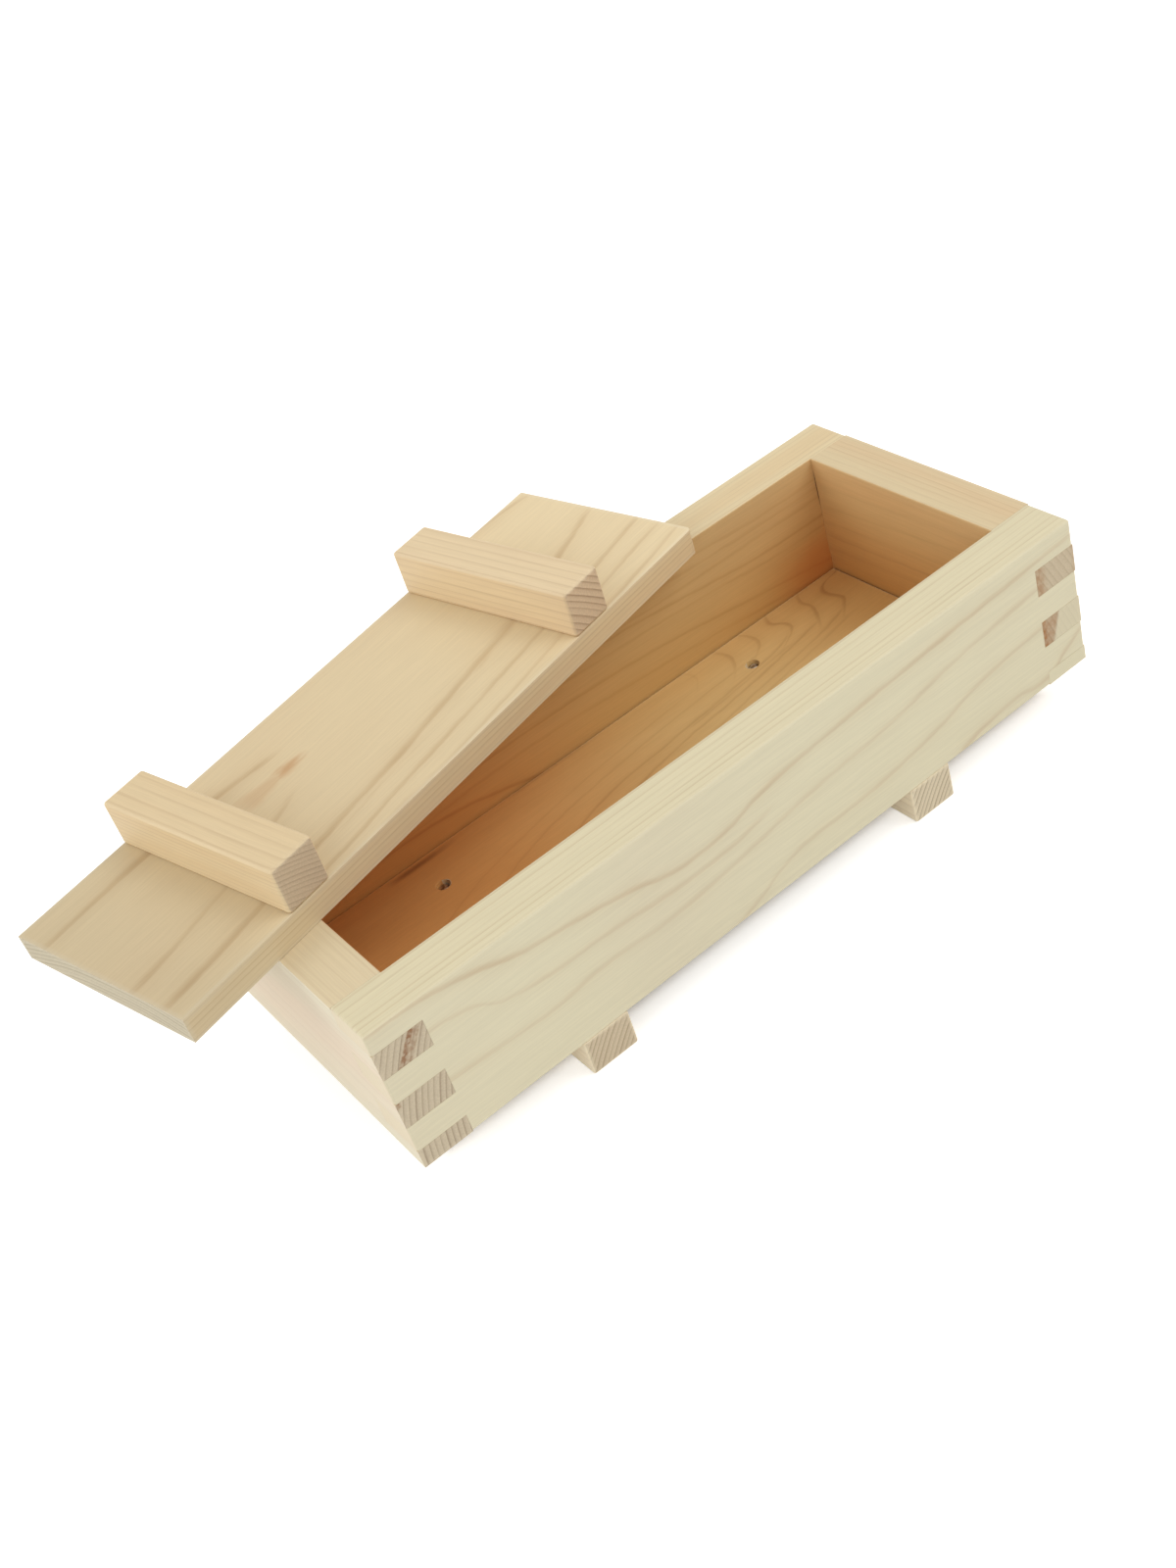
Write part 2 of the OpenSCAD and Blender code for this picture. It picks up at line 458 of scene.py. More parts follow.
def still_square(start, end):
    """An edge between two flat faces of the block, or at the top of its worn corner."""
    faces = shared_faces(start, end, board_low, board_high)
    level = lies_at(start, z=board_high.z) and lies_at(end, z=start.z)
    at_worn_corner = start.x > board_high.x - WORN_REACH and start.y < board_low.y + WORN_REACH
    return faces >= 2 or (faces == 1 and level and at_worn_corner)


round_edges(press_board, worn_corner, WORN_ROUND, WORN_STEPS)
round_edges(press_board, still_square, PRESS_ROUND)
handles = []
for node in ("left_handle", "right_handle"):
    handle = new_block(node + "_bar", *press_box(node))
    round_edges(handle, any_edge, HANDLE_ROUND)
    handles.append(handle)
press_nails = drive_nails(
    "press_plate_nails", press_box("press_nails"), [press_board] + handles,
    upside_down=True, surface_z=board_low.z,
)
for piece in [press_board, press_nails] + handles:
    finish_surface(piece)
    turn_with_press(piece)


# ---------------------------------------------------------------- shader building

def fill(tree, sockets, values):
    """Links or sets each named input."""
    for key, value in values.items():
        if isinstance(value, bpy.types.NodeSocket):
            tree.links.new(value, sockets[key])
        else:
            sockets[key].default_value = value


class Graph:
    """Builds shader nodes as sums. Every method returns the socket that holds its result."""

    def __init__(self, tree):
        self.tree = tree

    def node(self, kind, output=0, inputs=None, **settings):
        made = self.tree.nodes.new(kind)
        for name, value in settings.items():
            setattr(made, name, value)
        fill(self.tree, made.inputs, inputs or {})
        return made.outputs[output]

    def maths(self, operation, *values, clamp=False):
        return self.node(
            "ShaderNodeMath", inputs=dict(enumerate(values)), operation=operation, use_clamp=clamp
        )

    def times(self, product, *values, clamp=False):
        """The product of two values or more, held to between 0 and 1 with clamp."""
        *early, last = values
        for value in early:
            product = self.maths("MULTIPLY", product, value)
        return self.maths("MULTIPLY", product, last, clamp=clamp)

    def times_plus(self, first, factor, addend):
        return self.maths("MULTIPLY_ADD", first, factor, addend)

    def over(self, first, second, clamp=False):
        return self.maths("DIVIDE", first, second, clamp=clamp)

    def size_of(self, value):
        return self.maths("ABSOLUTE", value)

    def plus(self, first, second):
        return self.maths("ADD", first, second)

    def minus(self, first, second):
        return self.maths("SUBTRACT", first, second)

    def larger(self, first, second):
        return self.maths("MAXIMUM", first, second)

    def vector_maths(self, operation, *values, output=0):
        return self.node(
            "ShaderNodeVectorMath", output, dict(enumerate(values)), operation=operation
        )

    def split(self, vector):
        parts = self.tree.nodes.new("ShaderNodeSeparateXYZ")
        self.tree.links.new(vector, parts.inputs[0])
        return parts.outputs[0], parts.outputs[1], parts.outputs[2]

    def join(self, x, y, z):
        return self.node("ShaderNodeCombineXYZ", inputs={0: x, 1: y, 2: z})

    def seen_from(self, vector, origin=(0, 0, 0), turn=(0, 0, 0), unit=1.0):
        """A place or a direction, in the axes of an origin that lies turned."""
        return self.node(
            "ShaderNodeMapping",
            inputs={"Vector": vector, "Location": origin, "Rotation": turn, "Scale": (unit, unit, unit)},
            vector_type="TEXTURE",
        )

    def noise(self, vector, scale, detail=0.0, roughness=0.5):
        return self.node(
            "ShaderNodeTexNoise",
            inputs={"Vector": vector, "Scale": scale, "Detail": detail, "Roughness": roughness},
        )

    def stretched_noise(self, vector, size, *detail):
        """Noise whose blotches have a size of their own along each axis."""
        stretch = [1 / length for length in size]
        return self.noise(self.vector_maths("MULTIPLY", vector, stretch), 1.0, *detail)

    def ramp(self, value, low, high, at_low=0.0, at_high=1.0):
        """Goes smoothly from one value to another between two limits, and stays level past them."""
        return self.node(
            "ShaderNodeMapRange",
            inputs={0: value, 1: low, 2: high, 3: at_low, 4: at_high},
            interpolation_type="SMOOTHSTEP",
        )

    def window(self, value, rise, fall, height=1.0):
        """Rises from 0 to a height over the first span of values, and falls back over the second."""
        return self.times(self.ramp(value, *rise), self.ramp(value, *fall, height, 0.0))

    def blend(self, amount, first, second, how="MIX"):
        return self.node(
            "ShaderNodeMix", 2, {0: amount, 6: first, 7: second}, data_type="RGBA", blend_type=how
        )

    def dim(self, colours, share):
        """Colours at a share of their brightness."""
        return self.blend(1.0, colours, self.join(share, share, share), "MULTIPLY")

    def between(self, amount, first, second):
        return self.node("ShaderNodeMix", 0, {0: amount, 2: first, 3: second}, data_type="FLOAT")


SOCKET_KINDS = {3: "Vector", 4: "Color"}


def new_group(name, inputs, outputs):
    """The graph of an empty shader group, the sockets of what it is given, and those of its results."""
    tree = bpy.data.node_groups.new(name, "ShaderNodeTree")
    for label, start in inputs.items():
        kind = SOCKET_KINDS[len(start)] if isinstance(start, tuple) else "Float"
        socket = tree.interface.new_socket(name=label, in_out="INPUT", socket_type="NodeSocket" + kind)
        socket.default_value = start
    for label, kind in outputs.items():
        tree.interface.new_socket(name=label, in_out="OUTPUT", socket_type="NodeSocket" + kind)
    given = tree.nodes.new("NodeGroupInput").outputs
    results = tree.nodes.new("NodeGroupOutput").inputs
    return Graph(tree), given, results


def finish_group(graph, results, values):
    """Links what a group puts out."""
    fill(graph.tree, results, values)
    return graph.tree


def colour(red, green, blue):
    """A colour as a screen shows it, from 0 to 255, as the linear values that a shader takes."""
    def linear(value):
        share = value / 255
        return share / 12.92 if share <= 0.04045 else ((share + 0.055) / 1.055) ** 2.4
    return (linear(red), linear(green), linear(blue), 1.0)


# ---------------------------------------------------------------- wood: rings, lines, fibre and colour

# The planed surface: the colour of its paler arrises, partly worn wood and partly a painted highlight, how
# dull it is, and the relief of its grain
RUBBED_AND_HIGHLIGHT_COLOUR = colour(236, 222, 192)
SIDE_ROUGHNESS = 0.6
WOOD_GLOSS = 0.3
GRAIN_STRENGTH = 0.35
GRAIN_DEPTH = 0.06 * MM

# Painted shade for the mould's inside, darker and warmer in place of the shade and warm bounce light in
# there, at its left end, past its middle and at its right end
ORANGE_PAINTED_SHADE = colour(250, 202, 151)
HONEY_PAINTED_SHADE = colour(247, 228, 191)
RIGHT_PAINTED_SHADE = colour(245, 213, 165)

# Where a long line fades past the ends of its course, and what sets its waver off from the next line's
RUN_OUT = 6.0
LINE_SEED_STEP = 7.7


def build_growth_rings():
    """The tree's rings round its heart, as they cross any face of a board cut from it."""
    graph, given, results = new_group(
        "Growth rings",
        {
            "Place": (0, 0, 0),
            "Facing": (0, 0, 1),
            "Ring width": 1.7,
            "Wander": 0.6,
            "Unevenness": 0.8,
            "Seed": 0.0,
        },
        {"Late wood": "Float", "Tone": "Float", "Fibre": "Float", "Flat cut": "Float"},
    )
    seed = graph.times(given["Seed"], 17.3)
    x, y, z = graph.split(given["Place"])
    across = graph.join(0, y, z)
    shifted = graph.vector_maths("ADD", given["Place"], graph.join(seed, seed, seed))

    # The rings stray slowly along the trunk, with a fine tremor on top
    slow = graph.stretched_noise(shifted, (110, 28, 28), 1.0)
    tremor = graph.stretched_noise(shifted, (14, 5, 5), 1.0)
    stray = graph.times_plus(tremor, 0.12, graph.minus(slow, 0.56))
    radius = graph.vector_maths("LENGTH", across, output=1)
    strayed = graph.times_plus(stray, graph.times(given["Wander"], 4.0), radius)
    count = graph.over(strayed, given["Ring width"])

    # Good and bad years: the rings are not equally wide
    years = graph.noise(graph.join(graph.times_plus(count, 0.31, seed), 0, 0), 1.0)
    uneven = graph.times_plus(graph.minus(years, 0.5), given["Unevenness"], count)
    ring = graph.maths("FLOOR", uneven)
    part = graph.minus(uneven, ring)

    # Each ring darkens slowly to its late wood, and stops sharply there
    rise = graph.ramp(part, 0.6, 0.92)
    fall = graph.ramp(part, 0.93, 1.0, 1.0, 0.0)
    soft = graph.times(graph.maths("POWER", part, 2.2), 0.4)
    line = graph.times(graph.times_plus(rise, 0.75, soft), fall)

    # Some rings are stronger than others, and each fades and comes back along the grain
    chance = graph.node(
        "ShaderNodeTexWhiteNoise", 0, {"W": graph.plus(ring, seed)}, noise_dimensions="1D"
    )
    fading = graph.noise(graph.join(graph.times(x, 1 / 45), graph.times(ring, 3.7), seed), 1.0, 1.0)
    strength = graph.times(graph.between(chance, 0.35, 1.0), graph.between(fading, 0.3, 1.7))

    # A face is flat-cut where it looks straight out from the heart or in at it
    out_from_heart = graph.vector_maths("NORMALIZE", across)
    along_face = graph.vector_maths("DOT_PRODUCT", out_from_heart, given["Facing"], output=1)

    # The fibres run along the grain, far longer than they are thick
    fibre = graph.stretched_noise(shifted, (16, 0.45, 0.45), 2.0, 0.6)
    tone = graph.noise(graph.join(graph.times(x, 1 / 150), graph.times(count, 0.22), seed), 1.0, 2.0)
    return finish_group(graph, results, {
        "Late wood": graph.times(line, strength, clamp=True),
        "Tone": tone,
        "Fibre": fibre,
        "Flat cut": graph.ramp(graph.size_of(along_face), 0.8, 0.99),
    })


def build_growth_line():
    """One long line of late wood on a flat-cut face: soft before its course and sharp after it."""
    graph, given, results = new_group(
        "Growth line",
        {
            "Along": 0.0,
            "Across": 0.0,
            "Course": 0.0,
            "Start": -1000.0,
            "End": 1000.0,
            "Width": 1.2,
            "Strength": 0.6,
            "Seed": 0.0,
        },
        {"Line": "Float"},
    )
    slow = graph.noise(graph.join(graph.times(given["Along"], 1 / 22), given["Seed"], 0), 1.0, 1.0)
    fine = graph.noise(graph.join(graph.times(given["Along"], 1 / 6), given["Seed"], 4), 1.0, 1.0)
    gap = graph.minus(given["Across"], given["Course"])
    gap = graph.plus(gap, graph.times_plus(fine, 0.7, -0.35))
    share = graph.over(gap, graph.times(given["Width"], graph.between(slow, 0.5, 1.5)))
    rise = graph.maths("POWER", graph.ramp(share, -1.5, -0.05), 1.4)
    core = graph.times(rise, graph.ramp(share, 0.0, 0.6, 1.0, 0.0))
    halo = graph.ramp(graph.size_of(share), 0.0, 3.2, 0.22, 0.0)
    ends = graph.times(
        graph.ramp(graph.minus(given["Along"], given["Start"]), 0.0, 12.0),
        graph.ramp(graph.minus(given["End"], given["Along"]), 0.0, 12.0),
    )
    strength = graph.times(given["Strength"], graph.between(slow, 0.35, 1.5))
    line = graph.times(graph.larger(core, halo), ends, strength, clamp=True)
    return finish_group(graph, results, {"Line": line})


def build_wood_colours():
    """Turns rings, fibre and end grain into the planed wood's colour, roughness and height."""
    graph, given, results = new_group(
        "Planed wood",
        {
            "Late wood": 0.0,
            "Long lines": 0.0,
            "Tone": 0.5,
            "Fibre": 0.5,
            "Flat cut": 0.0,
            "End grain": 0.0,
            "Arris": 0.0,
            "Inside": 0.0,
            "Marks and painted shade": 0.0,
            "Quiet": 0.0,
            "Early colour": colour(222, 210, 178),
            "Warm colour": colour(218, 200, 166),
            "Late colour": colour(190, 162, 124),
            "Line colour": colour(184, 148, 108),
            "End colour": colour(204, 188, 158),
            "End late colour": colour(160, 138, 112),
            "Quiet colour": colour(226, 213, 186),
            "Painted inside shade": colour(255, 214, 165),
            "Marks and painted shade colour": colour(150, 100, 62),
            "Ring contrast": 0.45,
            "Shade": 1.0,
        },
        {"Colour": "Color", "Roughness": "Float", "Height": "Float"},
    )
    # Side grain: pale early wood, warmer in broad bands, with the late wood's lines
    bands = graph.ramp(given["Tone"], 0.36, 0.66)
    ground = graph.blend(bands, given["Early colour"], given["Warm colour"])
    contrast = graph.times(given["Ring contrast"], graph.between(given["Flat cut"], 1.0, 0.72))
    lines = graph.times(given["Late wood"], contrast, clamp=True)
    side = graph.blend(lines, ground, given["Late colour"])
    side = graph.blend(given["Long lines"], side, given["Line colour"])
    side = graph.dim(side, graph.ramp(given["Fibre"], 0.3, 0.72, 0.968, 1.028))

    # End grain drinks the light: greyer and darker, with strong lines and open pores
    end_lines = graph.maths("POWER", given["Late wood"], 0.6, clamp=True)
    end = graph.blend(end_lines, given["End colour"], given["End late colour"])
    end = graph.dim(end, graph.ramp(given["Fibre"], 0.3, 0.7, 0.93, 1.05))
    end = graph.blend(given["Quiet"], end, given["Quiet colour"])
    face = graph.blend(given["End grain"], side, end)
    # Stains, and painted shade where a board has it low in a corner or along a joint
    face = graph.blend(given["Marks and painted shade"], face, given["Marks and painted shade colour"])

    # Arrises are paler than the faces beside them, partly worn wood and partly a painted highlight, and the
    # mould's inside gets a painted shade, darker and warmer, for its shade and warm bounce light
    rubbed_and_highlit = graph.blend(given["Arris"], face, RUBBED_AND_HIGHLIGHT_COLOUR)
    shade_tint = graph.blend(given["Inside"], (1, 1, 1, 1), given["Painted inside shade"])
    with_painted_shade = graph.blend(1.0, rubbed_and_highlit, shade_tint, "MULTIPLY")
    rough = graph.times_plus(given["Late wood"], -0.08, SIDE_ROUGHNESS)
    return finish_group(graph, results, {
        "Colour": graph.dim(with_painted_shade, given["Shade"]),
        "Roughness": graph.times_plus(given["End grain"], 0.2, rough),
        "Height": graph.times_plus(given["Late wood"], 0.5, given["Fibre"]),
    })


def build_arris():
    """How near a point is to an arris of a box, from 0 out on the faces to 1 on the arris itself."""
    graph, given, results = new_group(
        "Arris of a box",
        {
            "Place": (0, 0, 0),
            "Half size": (10, 10, 10),
            "Width": 1.0,
        },
        {"Arris": "Float"},
    )
    from_faces = graph.vector_maths(
        "SUBTRACT", given["Half size"], graph.vector_maths("ABSOLUTE", given["Place"])
    )
    x, y, z = graph.split(from_faces)
    nearest = graph.maths("MINIMUM", graph.maths("MINIMUM", x, y), z)
    farthest = graph.larger(graph.larger(x, y), z)
    total = graph.plus(graph.plus(x, y), z)
    second = graph.minus(graph.minus(total, nearest), farthest)
    share = graph.over(second, given["Width"])
    return finish_group(graph, results, {"Arris": graph.ramp(share, 0.35, 1.3, 1.0, 0.0)})


def build_inside_shade():
    """Painted shade inside the mould: where a point is on the mould's inside, from 0 on the rim to 1 down
    at the floor board, and the colour of the shade painted there.
    """
    graph, given, results = new_group(
        "Painted shade inside the mould",
        {
            "Place": (0, 0, 0),
            "Facing": (0, 0, 1),
            "Half inside": (105, 37, 24),
            "Floor": -16.0,
        },
        {"Inside": "Float", "Depth": "Float", "Tint": "Color"},
    )
    x, y, _ = graph.split(graph.vector_maths("ABSOLUTE", given["Place"]))
    half_x, half_y, half_z = graph.split(given["Half inside"])
    along, _, height = graph.split(given["Place"])
    out = graph.larger(graph.minus(x, half_x), graph.minus(y, half_y))
    within = graph.ramp(out, 0.03, 0.45, 1.0, 0.0)
    outwards = graph.vector_maths("DOT_PRODUCT", given["Place"], given["Facing"], output=1)
    faces_in = graph.ramp(outwards, -8.0, -2.0, 1.0, 0.0)
    below_rim = graph.minus(half_z, height)
    depth = graph.over(below_rim, graph.minus(half_z, given["Floor"]), clamp=True)

    # The painted shade turns from orange at the left end to honey past the middle, and back a little at the
    # right
    shade_tint = graph.blend(graph.ramp(along, -60.0, 30.0), ORANGE_PAINTED_SHADE, HONEY_PAINTED_SHADE)
    shade_tint = graph.blend(graph.ramp(along, 45.0, 105.0), shade_tint, RIGHT_PAINTED_SHADE)
    return finish_group(graph, results, {
        "Inside": graph.times(within, faces_in),
        "Depth": depth,
        "Tint": shade_tint,
    })


growth_rings = build_growth_rings()
growth_line = build_growth_line()
planed_wood = build_wood_colours()
arris_of_box = build_arris()
painted_inside_shade = build_inside_shade()


def new_material(name):
    """A new material, the graph of its nodes and its shader's inputs."""
    material = bpy.data.materials.new(name)
    material.use_nodes = True
    tree = material.node_tree
    return material, Graph(tree), tree.nodes["Principled BSDF"].inputs


def place_group(graph, group, values):
    """Places a shader group in a material, with sockets linked or values set on its inputs."""
    placed = graph.tree.nodes.new("ShaderNodeGroup")
    placed.node_tree = group
    fill(graph.tree, placed.inputs, values)
    return placed.outputs


def from_corner(graph, place, size, first="X", second="Z"):
    """Millimetres in a box: from its left end along X, from its rear along Y, from its top along Z."""
    parts = dict(zip("XYZ", graph.split(place)))
    reach = dict(zip("XYZ", size))
    return [
        graph.times_plus(parts[axis], 1.0 if axis == "X" else -1.0, reach[axis] / 2)
        for axis in (first, second)
    ]


def looks(graph, facing, axis, low=0.6, high=0.9, *values):
    """1 on the faces that look along an axis, or against it with a minus sign, and 0 on the others.

    Other values for the faces that don't and for those that do may follow.
    """
    sign = -1.0 if axis[0] == "-" else 1.0
    part = graph.split(facing)["XYZ".index(axis[-1])]
    return graph.ramp(part, sign * low, sign * high, *values)


def course(graph, along, length, points, reach):
    """The course of a line over a face: how far across it is at each distance along."""
    share = graph.over(along, length)
    curve = graph.tree.nodes.new("ShaderNodeFloatCurve")
    graph.tree.links.new(share, curve.inputs["Value"])
    line = curve.mapping.curves[0]
    while len(line.points) < len(points):
        line.points.new(0.5, 0.5)
    for point, (at, across) in zip(line.points, points):
        point.location = (at / length, across / reach)
    curve.mapping.use_clip = False
    curve.mapping.update()
    return graph.times(curve.outputs[0], reach)


def long_lines(graph, along, across, length, reach, lines):
    """The long growth lines of one face, each with a strength, a width and the points on its course."""
    drawn = 0.0
    for number, (strength, width, points) in enumerate(lines):
        line = place_group(graph, growth_line, {
            "Along": along,
            "Across": across,
            "Course": course(graph, along, length, points, reach),
            "Start": points[0][0] - RUN_OUT,
            "End": points[-1][0] + RUN_OUT,
            "Width": width,
            "Strength": strength,
            "Seed": LINE_SEED_STEP * number,
        })["Line"]
        drawn = graph.larger(line, drawn)
    return drawn


def board_wood(name, heart, turn, box, rings, tones, contrast=0.45, box_turn=0.0, arris=(1.0, 0.3),
               tilt=0.0, quiet=None, face=None, marks_and_shade=None, shade=None, rim=None, inside_shade_at_rim=0.0):
    """Wood for one board.

    heart is a point on the heart line of its tree, which runs along its grain, and turn and tilt are
    that line's. rings and tones are the tree's own, and arris gives the width and strength of its paler
    arrises, partly worn wood and partly a painted highlight. face draws the long lines of the board's
    widest face. One argument says where it is stained and where shade is painted on it, quiet where
    its end grain is faded, and shade where it is darker, partly its own tone and partly painted shade.
    rim is the colour of its top, and the last argument how much of the painted shade of the mould's
    inside it has up at the rim.
    """
    material, graph, shader = new_material(name)
    place = graph.node("ShaderNodeTexCoord", "Object")
    normal = graph.node("ShaderNodeTexCoord", "Normal")
    in_tree = graph.seen_from(place, heart, (0, tilt, turn), MM)
    facing = graph.seen_from(normal, turn=(0, tilt, turn))
    low, high = box
    middle = Matrix.Rotation(box_turn, 3, "Z") @ ((low + high) / 2)
    in_box = graph.seen_from(place, middle, (0, 0, box_turn), MM)
    box_facing = graph.seen_from(normal, turn=(0, 0, box_turn))
    ring = place_group(graph, growth_rings, {"Place": in_tree, "Facing": facing, **rings})
    late_wood = ring["Late wood"]
    lines = 0.0
    if face:
        lines, on_face, hush = face(graph, in_box, box_facing)
        lines = graph.times(lines, on_face)
        late_wood = graph.times(late_wood, graph.between(on_face, 1.0, hush))
    end_grain = graph.ramp(graph.size_of(graph.split(facing)[0]), 0.75, 0.95)
    # The paler arrises: partly worn wood and partly a painted highlight
    arris_width, arris_highlight_strength = arris
    rubbed_and_highlit = place_group(graph, arris_of_box, {
        "Place": in_box,
        "Half size": (high - low) / (2 * MM),
        "Width": arris_width,
    })["Arris"]
    colours = {part + " colour": colour(*tone) for part, tone in tones.items()}
    inside = 0.0
    if inside_shade_at_rim:
        middle_of_mould = (mould_low + mould_high) / 2
        deep = place_group(graph, painted_inside_shade, {
            "Place": graph.seen_from(place, middle_of_mould, unit=MM),
            "Facing": normal,
            "Half inside": (inside_high - inside_low) / (2 * MM),
            "Floor": (base_high.z - middle_of_mould.z) / MM,
        })
        # Painted shade on the mould's inside: full down at the floor board, and a share of it up at the rim
        inside = graph.times(deep["Inside"], graph.between(deep["Depth"], inside_shade_at_rim, 1.0))
        colours["Painted inside shade"] = deep["Tint"]
    if rim:
        up = looks(graph, box_facing, "Z", 0.5, 0.95)
        for side_grain in ("Early colour", "Warm colour"):
            colours[side_grain] = graph.blend(up, colours[side_grain], colour(*rim))
    wood = place_group(graph, planed_wood, {
        "Late wood": late_wood,
        "Long lines": lines,
        "Tone": ring["Tone"],
        "Fibre": ring["Fibre"],
        "Flat cut": ring["Flat cut"],
        "End grain": end_grain,
        "Arris": graph.times(rubbed_and_highlit, arris_highlight_strength),
        "Inside": inside,
        "Marks and painted shade": marks_and_shade(graph, in_box, box_facing) if marks_and_shade else 0.0,
        "Quiet": quiet(graph, in_box, box_facing) if quiet else 0.0,
        "Shade": shade(graph, in_box, box_facing) if shade else 1.0,
        "Ring contrast": contrast,
        **colours,
    })
    fill(graph.tree, shader, {
        "Base Color": wood["Colour"],
        "Roughness": wood["Roughness"],
        "Specular IOR Level": WOOD_GLOSS,
        "Normal": graph.node("ShaderNodeBump", inputs={
            "Strength": GRAIN_STRENGTH,
            "Distance": GRAIN_DEPTH,
            "Height": wood["Height"],
        }),
    })
    return material


def nail_material():
    """Dull drawn steel, paler in blotches."""
    material, graph, shader = new_material("dull nail steel")
    place = graph.node("ShaderNodeTexCoord", "Object")
    blotch = graph.noise(place, 900.0, 3.0)
    polish = graph.ramp(blotch, 0.4, 0.65)
    fill(graph.tree, shader, {
        "Base Color": graph.blend(polish, colour(150, 142, 130), colour(206, 198, 184)),
        "Roughness": graph.ramp(blotch, 0.3, 0.7, 0.3, 0.5),
        "Metallic": 1.0,
    })
    return material


def dress(piece, body, node, material):
    """Gives a finished piece its material and its body, and hides the CAD node that it stands for."""
    piece.data.materials.clear()
    piece.data.materials.append(material)
    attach(piece, body)
    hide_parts(node)


# ---------------------------------------------------------------- the wood of each board

QUARTER = math.radians(90)
mould_box = (mould_low, mould_high)
mould_size = (mould_high - mould_low) / MM
inside_size = (inside_high - inside_low) / MM
press_size = (board_high - board_low) / MM


def front_face(graph, in_box, facing):
    """The front wall's outer face: five wavy lines, from the mould's left end and down from its rim."""
    along, down = from_corner(graph, in_box, mould_size)
    lines = long_lines(graph, along, down, mould_size.x, mould_size.z, [
        (0.42, 1.7, [(0, 0.6), (14, 1), (30, 4), (45, 8.5), (62, 11), (78, 14), (93, 17.8), (103, 17.8),
                    (125, 13), (145, 11), (180, 8.5), (225, 5.8), (240, 5)]),
        (0.28, 1.6, [(0, 10.5), (25, 12.5), (36, 18), (50, 20.5), (68, 21), (90, 23), (106, 23),
                    (122, 20.5)]),
        (0.27, 1.7, [(0, 28), (32, 30), (45, 31), (65, 29.5), (85, 30.5), (105, 29), (140, 24), (165, 22),
                    (195, 17), (240, 13.5)]),
        (0.3, 1.6, [(104, 48), (112, 45.5), (127, 39.5), (135, 38.5), (150, 38.5), (180, 35), (200, 30),
                     (225, 27.5), (240, 27)]),
        (0.36, 1.8, [(188, 48), (200, 45), (212, 44), (222, 45.5), (232, 41), (240, 36.5)]),
    ])
    return lines, looks(graph, facing, "-Y"), 0.0


def rear_inside(graph, in_box, facing):
    """The rear wall's inner face: lines that fall gently to the right."""
    along, down = from_corner(graph, in_box, mould_size)
    lines = long_lines(graph, along, down, mould_size.x, mould_size.z, [
        (0.2, 1.0, [(0, 2), (60, 2), (120, 3), (177, 5.5), (200, 7.3), (240, 7)]),
        (0.2, 1.0, [(0, 6), (60, 5), (120, 6.5), (175, 9), (200, 10), (240, 10.5)]),
        (0.22, 1.0, [(0, 13), (60, 10), (120, 11), (160, 13), (195, 13.5), (240, 14)]),
        (0.3, 1.0, [(0, 22), (60, 14), (110, 12.5), (150, 14.5), (180, 18), (200, 20), (240, 20)]),
        (0.2, 1.0, [(0, 28), (60, 20), (110, 17.5), (150, 19), (180, 21), (205, 23.5), (240, 24)]),
        (0.28, 1.0, [(0, 34), (50, 28), (90, 25), (130, 25.2), (160, 27.5), (195, 32.5), (240, 39)]),
        (0.2, 1.1, [(0, 40), (50, 33), (100, 30), (150, 33), (190, 37), (240, 44)]),
        (0.4, 1.1, [(0, 38), (40, 34), (60, 33), (75, 34), (90, 37), (105, 41), (120, 45)]),
    ])
    return lines, looks(graph, facing, "-Y"), 0.25


def rear_corner_shade(graph, in_box, facing):
    """Painted shade, redder and darker, low down in the mould's rear right corner."""
    along, down = from_corner(graph, in_box, mould_size)
    ragged = graph.noise(graph.join(graph.times(along, 0.08), 0, graph.times(down, 0.2)), 1.0, 2.0)
    low_down = graph.ramp(graph.times_plus(ragged, 8.0, down), 26.0, 38.0)
    mark_and_corner_shade = graph.times(graph.ramp(along, 196.0, 220.0, 0.0, 0.6), low_down)
    return graph.times(mark_and_corner_shade, looks(graph, facing, "-Y"))


def press_top(graph, in_box, facing):
    """The press board's top: a plain middle, and lines that close in on its front edge to the right."""
    along, down = from_corner(graph, in_box, press_size, "X", "Y")
    lines = long_lines(graph, along, down, press_size.x, press_size.y, [
        (0.4, 2.3, [(0, 11.4), (18, 10.8), (37, 10.8), (62, 12.6), (80, 15.2)]),
        (0.3, 2.0, [(0, 47.5), (16, 46), (27, 44), (37, 42.6), (50, 39.4), (62, 36.3), (70, 33.5)]),
        (0.42, 2.4, [(0, 60), (17, 59.2), (37, 57), (60, 55), (76, 53), (96, 51.4), (107, 49.7),
                    (123, 47.5), (140, 45), (154, 43), (190, 34), (205, 29.5)]),
        (0.34, 1.7, [(50, 64), (70, 62.5), (84, 60.8), (101, 59.4), (118, 57.8), (140, 55.6), (154, 54.2),
                    (185, 50), (208, 47)]),
        (0.28, 1.5, [(72, 67), (100, 66.2), (112, 65.4), (129, 64), (154, 61.5), (182, 57.6), (208, 55)]),
        (0.3, 1.5, [(140, 68), (182, 64.8), (194, 63.8), (208, 62)]),
        (0.14, 1.4, [(64, 57.4), (76, 55.6), (90, 54.2), (104, 53.4)]),
        (0.3, 1.6, [(180, 0), (200, 2), (208, 4)]),
        (0.26, 4.0, [(132, 47), (142, 45.2), (152, 43.4), (158, 42.2)]),
        (0.22, 2.4, [(60, 36.6), (68, 34)]),
    ])
    return lines, looks(graph, facing, "Z"), 0.0


